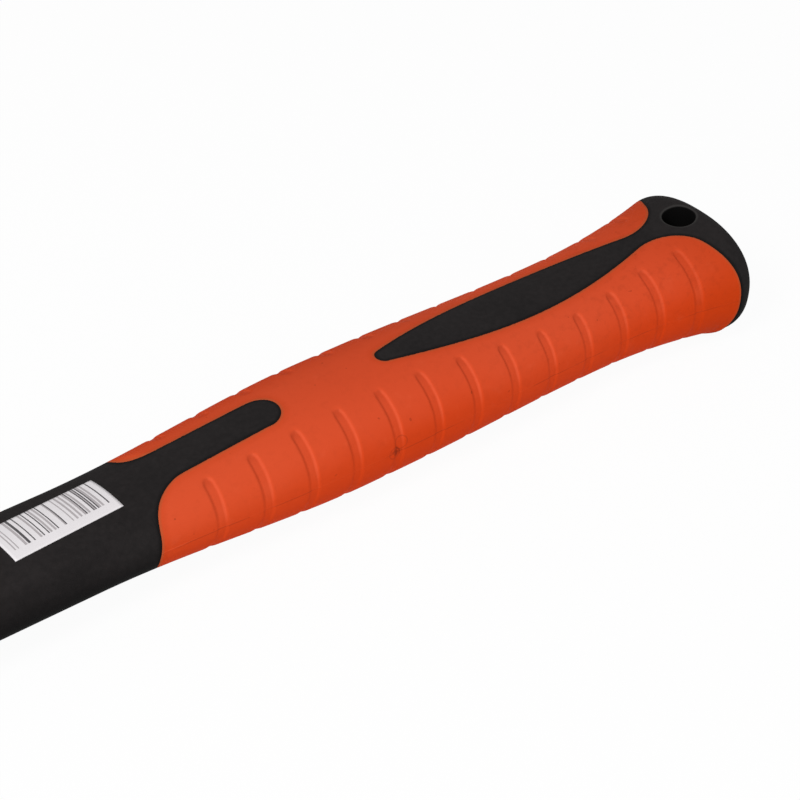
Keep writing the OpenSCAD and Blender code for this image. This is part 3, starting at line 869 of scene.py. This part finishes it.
def headDistance(x, y, z):  # below 0 inside the forging: with soft edges, and with sharp ones
    h, face, bevel = head["half"], head["face"], head["faceBevel"]
    wide, tall = np.abs(x), np.abs(z)
    forged = [wide - h, tall - h, (wide + tall - 2 * h + head["edgeBevel"]) / math.sqrt(2),
              peenSide(x, y, h, head["lowStart"], 1), peenSide(x, y, -h, head["topStart"], -1)]
    corner = math.sqrt(2) * (h - head["edgeBevel"] / 2) - bevel
    rim = [(wide - y - h - face + bevel) / math.sqrt(2), (tall - y - h - face + bevel) / math.sqrt(2),
           (np.hypot(x, z) - corner - y - face) / math.sqrt(2)]
    crown = np.sqrt(x * x + z * z + (y + face - head["crownR"]) ** 2) - head["crownR"]
    soft, sharp = forged[0], forged[0]
    for d in forged[1:]:
        soft, sharp = smoothMax(soft, d, head["forgedEdge"]), np.maximum(sharp, d)
    for d in rim + [crown]:
        soft, sharp = smoothMax(soft, d, head["groundEdge"]), np.maximum(sharp, d)
    return soft, sharp


def ovalTurn(radius, turn):
    y = np.sign(np.cos(turn)) * head["eyeStraight"] + radius * np.cos(turn)
    return y, radius * np.sin(turn)


def cutEye(work):
    mouth = head["eyeR"] + head["eyeFlare"] + head["mouthRound"]

    def beside(p):  # distance outside the largest oval of the mouth
        y, z = abs(p.y - eyeAxis.y) / mm, (p.z - eyeAxis.z) / mm
        return math.hypot(max(0, y - head["eyeStraight"]), z) - mouth

    gone = [f for f in work.faces if any(beside(v.co) < head["mouthLand"] for v in f.verts)]
    bmesh.ops.delete(work, geom=gone, context="FACES")
    turn = (np.arange(head["mouthSides"]) + 0.5) * 2 * math.pi / head["mouthSides"]
    rings = {1: [], -1: []}
    for side, loops in rings.items():
        for lean in np.linspace(0, math.pi / 2, head["mouthSteps"]):
            y, z = ovalTurn(mouth - head["mouthRound"] * math.sin(lean), turn)
            x = np.full_like(y, side * (head["half"] - head["mouthRound"] * (1 - math.cos(lean))))
            loops.append([work.verts.new(p) for p in toHead(x, y, z)])
    y, z = ovalTurn(head["eyeR"], turn)
    waist = [work.verts.new(p) for p in toHead(0 * y, y, z)]
    for loops in rings.values():
        for outer, inner in zip(loops, loops[1:] + [waist]):
            joinRings(work, outer, inner)
    deep = head["mouthDeep"] * head["half"] * mm
    for side in rings:
        fillBetween(work, lambda p: side * (p.x - eyeAxis.x) > deep and beside(p) < head["mouthReach"],
                    (side, 0, 0))


forgedSteel = {
    "lacquer": (27, 27, 28), "lacquerPale": (40, 40, 41), "paleMark": (66, 65, 64),
    "steel": (176, 174, 170), "steelDark": (146, 144, 140),
    "faceGround": 7.0, "peenGround": 15.0, "groundEdge": 0.35,  # how far the grinding reaches
    "wander": 9.0, "wanderBy": 1.6, "bareCut": (0.35, 0.65),
    "scale": 4.0, "scaleCut": (0.35, 0.7), "scaleRough": 0.15, "scaleDepth": 0.12,  # forging scale
    "wear": 1.5, "wearCut": (0.3, 0.7), "wearShare": 0.35,  # rubbed edges
    "line": 0.45, "lineLong": 0.02, "lineCut": (0.3, 0.7),  # marks of grinding
    "lineRough": 0.12, "lineDepth": 0.01,
    "rough": 0.42, "steelRough": 0.3, "specular": 0.25, "coat": 0.12, "coatRough": 0.3,
}


def forgedSteelFinish():
    finish, place = newFinish("forged head")
    look = forgedSteel
    wander = (place.noise(look["wander"], 3) - 0.5) * look["wanderBy"]
    y = (place.part(1) - eyeAxis.y) / mm + wander
    faceEdge, peenEdge = look["faceGround"] - head["face"], head["peen"] - look["peenGround"]
    face = 1 - y.between(faceEdge - look["groundEdge"], faceEdge)
    peen = y.between(peenEdge, peenEdge + look["groundEdge"])
    bare = (face + peen).between(*look["bareCut"])
    scale = place.noise(look["scale"], 4, 0.55)
    lacquer = scale.between(*look["scaleCut"]).blend(look, "lacquer", "lacquerPale")
    paleMark = place.attribute("edge") * place.noise(look["wear"], 4, 0.6).between(*look["wearCut"])
    lacquer = lacquer.under(look, (paleMark * look["wearShare"], "paleMark"))
    lines = place.stretch(1, look["lineLong"], look["lineLong"]).noise(look["line"], 3, 0.6)
    steel = lines.between(*look["lineCut"]).blend(look, "steelDark", "steel")
    bareRough = look["steelRough"] + lines * look["lineRough"]
    lacquerRough = look["rough"] + scale * look["scaleRough"]
    skin = (scale * (1 - bare)).bump(look["scaleDepth"])
    coat(place, {"Base Color": bare.mix(lacquer, steel), "Metallic": bare,
                 "Roughness": bare * bareRough + (1 - bare) * lacquerRough,
                 "Specular IOR Level": look["specular"], "Coat Weight": look["coat"] * (1 - bare),
                 "Coat Roughness": look["coatRough"],
                 "Normal": (lines * bare).bump(look["lineDepth"], skin)})
    return finish


def makeHead():
    theta = np.radians(np.concatenate([np.array(head["corner"]) + 90 * k for k in range(4)]))[None, :]
    tilt = np.radians(np.concatenate([np.arange(*run) for run in head["faceTilts"]]))[:, None]
    endTilt = np.radians(np.arange(*head["peenTilts"]))[:, None]
    half, deep, peenY = head["half"], head["face"] - head["half"], head["peen"] - head["peenR"]
    bodyY = np.arange(-deep, peenY, head["rowStep"])[:, None]
    taper = np.clip((bodyY - head["lowStart"]) / (peenY - head["lowStart"]), 0, 1)
    narrow = half + (head["peenR"] - half) * taper
    flat, ones, endOnes = np.ones_like(theta), np.ones_like(tilt), np.ones_like(endTilt)
    rays = [  # where a ray starts along the head and across it, and its direction
        (-deep * ones, 0 * ones, half * np.sin(tilt) * np.cos(theta),
         -half * np.cos(tilt) * flat, half * np.sin(tilt) * np.sin(theta)),
        (bodyY, -head["peenLift"] * taper, narrow * np.cos(theta),
         0 * bodyY * flat, half * np.sin(theta) + 0 * bodyY),
        (peenY * endOnes, -head["peenLift"] * endOnes, head["peenR"] * np.sin(endTilt) * np.cos(theta),
         head["peenR"] * np.cos(endTilt) * flat, half * np.sin(endTilt) * np.sin(theta))]
    startY, startX, wayX, wayY, wayZ = (np.concatenate([ray[k] for ray in rays]) for k in range(5))
    low, high = np.zeros_like(wayX), np.full_like(wayX, head["rayReach"])
    for _ in range(halvings):
        middle = (low + high) / 2
        inside = headDistance(startX + wayX * middle, startY + wayY * middle, wayZ * middle)[0] < 0
        low, high = np.where(inside, middle, low), np.where(inside, high, middle)
    x, y, z = startX + wayX * low, startY + wayY * low, wayZ * low
    edge = np.clip(-headDistance(x, y, z)[1] / head["wearDepth"], 0, 1)
    addPiece("forgedHead", toHead(x, y, z).reshape(-1, 3), quads(*x.shape), {"edge": edge.ravel()},
             forgedSteelFinish(), "head", cutEye)


makeHead()
print("head made")

glassFibre = {
    "colour": (196, 178, 126), "pale": (222, 210, 168), "dark": (150, 132, 84),
    "long": 0.08, "strand": 0.5, "strandCut": (0.3, 0.65), "fine": 0.25, "fineCut": (0.6, 0.7),
    "rough": 0.6, "strandRough": 0.15, "strandDepth": 0.05,
}
castResin = {
    "colour": (48, 40, 32), "pale": (74, 60, 44), "cloud": 5.0, "cloudCut": (0.35, 0.7),
    "bubble": 0.8, "bubbleCut": (0.76, 0.8), "bubbleShare": 0.5, "depth": 0.12,
    "rough": 0.22, "cloudRough": 0.2, "coat": 0.4, "coatRough": 0.15,
}


def glassFibreFinish():
    finish, place = newFinish("glass fibre")
    look = glassFibre
    drawn = place.stretch(look["long"], 1, 1)
    strands = drawn.noise(look["strand"], 3, 0.7)
    fine = drawn.noise(look["fine"], 1).between(*look["fineCut"])
    tone = strands.between(*look["strandCut"]).blend(look, "dark", "colour").under(look, (fine, "pale"))
    coat(place, {"Base Color": tone, "Roughness": look["rough"] + strands * look["strandRough"],
                 "Normal": strands.bump(look["strandDepth"])})
    return finish


def castResinFinish():
    finish, place = newFinish("cast resin")
    look = castResin
    cloud = place.noise(look["cloud"], 3)
    bubbles = place.noise(look["bubble"], 0).between(*look["bubbleCut"]) * look["bubbleShare"]
    tone = cloud.between(*look["cloudCut"]).blend(look, "colour", "pale")
    coat(place, {"Base Color": tone, "Roughness": look["rough"] + cloud * look["cloudRough"],
                 "Coat Weight": look["coat"], "Coat Roughness": look["coatRough"],
                 "Normal": (cloud - bubbles).bump(look["depth"])})
    return finish


for node, finish in (("core_rod", glassFibreFinish()), ("eye_resin", castResinFinish())):
    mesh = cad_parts[node].data
    mesh.materials.clear()
    mesh.materials.append(finish)
print("core and resin finished")

camera = {
    "azimuth": -39.57, "elevation": 36.84, "roll": 1.68,  # degrees, as the photograph was taken
    "distance": 518.07, "focal": 2121.08,  # millimetres, and pixels of the frame
    "aimS": 90.0, "aimPixel": (436.83, 375.45), "frame": 800,
    "sensor": 36.0, "near": 0.01,
}


def makeCamera():
    a, e, roll = (math.radians(camera[k]) for k in ("azimuth", "elevation", "roll"))
    back = Vector((math.sin(a) * math.cos(e), -math.cos(a) * math.cos(e), math.sin(e)))
    right = Vector((math.cos(a), math.sin(a), 0))
    up = back.cross(right)
    turn = Matrix.Rotation(roll, 3, back)
    right, up = turn @ right, turn @ up
    aim = axis - Vector((camera["aimS"] * mm, 0, 0))
    reach = camera["distance"] * mm
    offX, offY = ((p - camera["frame"] / 2) / camera["focal"] for p in camera["aimPixel"])
    place = aim + back * reach - right * offX * reach + up * offY * reach
    data = bpy.data.cameras.new("camera")
    data.sensor_width = camera["sensor"]
    data.lens = camera["focal"] * camera["sensor"] / camera["frame"]
    data.clip_start = camera["near"]
    eye = bpy.data.objects.new("camera", data)
    axes = Matrix((right, up, back)).transposed()
    eye.matrix_world = Matrix.Translation(place) @ axes.to_4x4()
    scene.collection.objects.link(eye)
    scene.camera = eye


makeCamera()

studio = {
    "ambient": 0.35, "floorLight": 0.955, "floorShade": 0.86, "floorHalf": 6.0,
    "lamps": [("key", (-0.65, -0.3, 0.72), 0.3, 8.1), ("fill", (0.35, -0.75, 0.4), 0.6, 1.7)],
}


def seenRays(tree):  # above 0 for the rays that show the background itself
    path = tree.nodes.new("ShaderNodeLightPath").outputs
    return sum(Wire(tree, path[name]) for name in ("Is Camera Ray", "Is Glossy Ray", "Is Transmission Ray"))


def makeFloor():
    finish, place = newFinish("pale floor")
    matte = place.add("ShaderNodeBsdfDiffuse", {}, {"Color": (*[studio["floorShade"]] * 3, 1)})
    white = place.add("ShaderNodeEmission", {}, {"Color": (1, 1, 1, 1), "Strength": 1.0})
    share = seenRays(place.tree) * studio["floorLight"]
    finishWith(place.add("ShaderNodeMixShader", {}, {0: share, 1: matte, 2: white}))
    mesh = bpy.data.meshes.new("floor")
    w = studio["floorHalf"]
    mesh.from_pydata([(-w, -w, 0), (w, -w, 0), (w, w, 0), (-w, w, 0)], [], [(0, 1, 2, 3)])
    mesh.materials.append(finish)
    floor = bpy.data.objects.new("floor", mesh)
    scene.collection.objects.link(floor)


def makeStudio():
    scene.view_settings.view_transform = "Standard"
    world = bpy.data.worlds.new("studio")
    scene.world = world
    world.use_nodes = True
    world.node_tree.nodes.clear()
    seen = seenRays(world.node_tree).between(0, 1)
    strength = seen * (1 - studio["ambient"]) + studio["ambient"]
    sky = seen.add("ShaderNodeBackground", {}, {"Color": (1, 1, 1, 1), "Strength": strength})
    finishWith(sky, "ShaderNodeOutputWorld")
    makeFloor()
    for name, place, size, power in studio["lamps"]:
        data = bpy.data.lights.new(name, "AREA")
        data.energy, data.size = power, size
        lamp = bpy.data.objects.new(name, data)
        lamp.location = place
        lamp.rotation_euler = (axis - Vector(place)).to_track_quat("-Z", "Y").to_euler()
        scene.collection.objects.link(lamp)


makeStudio()
print("studio made")
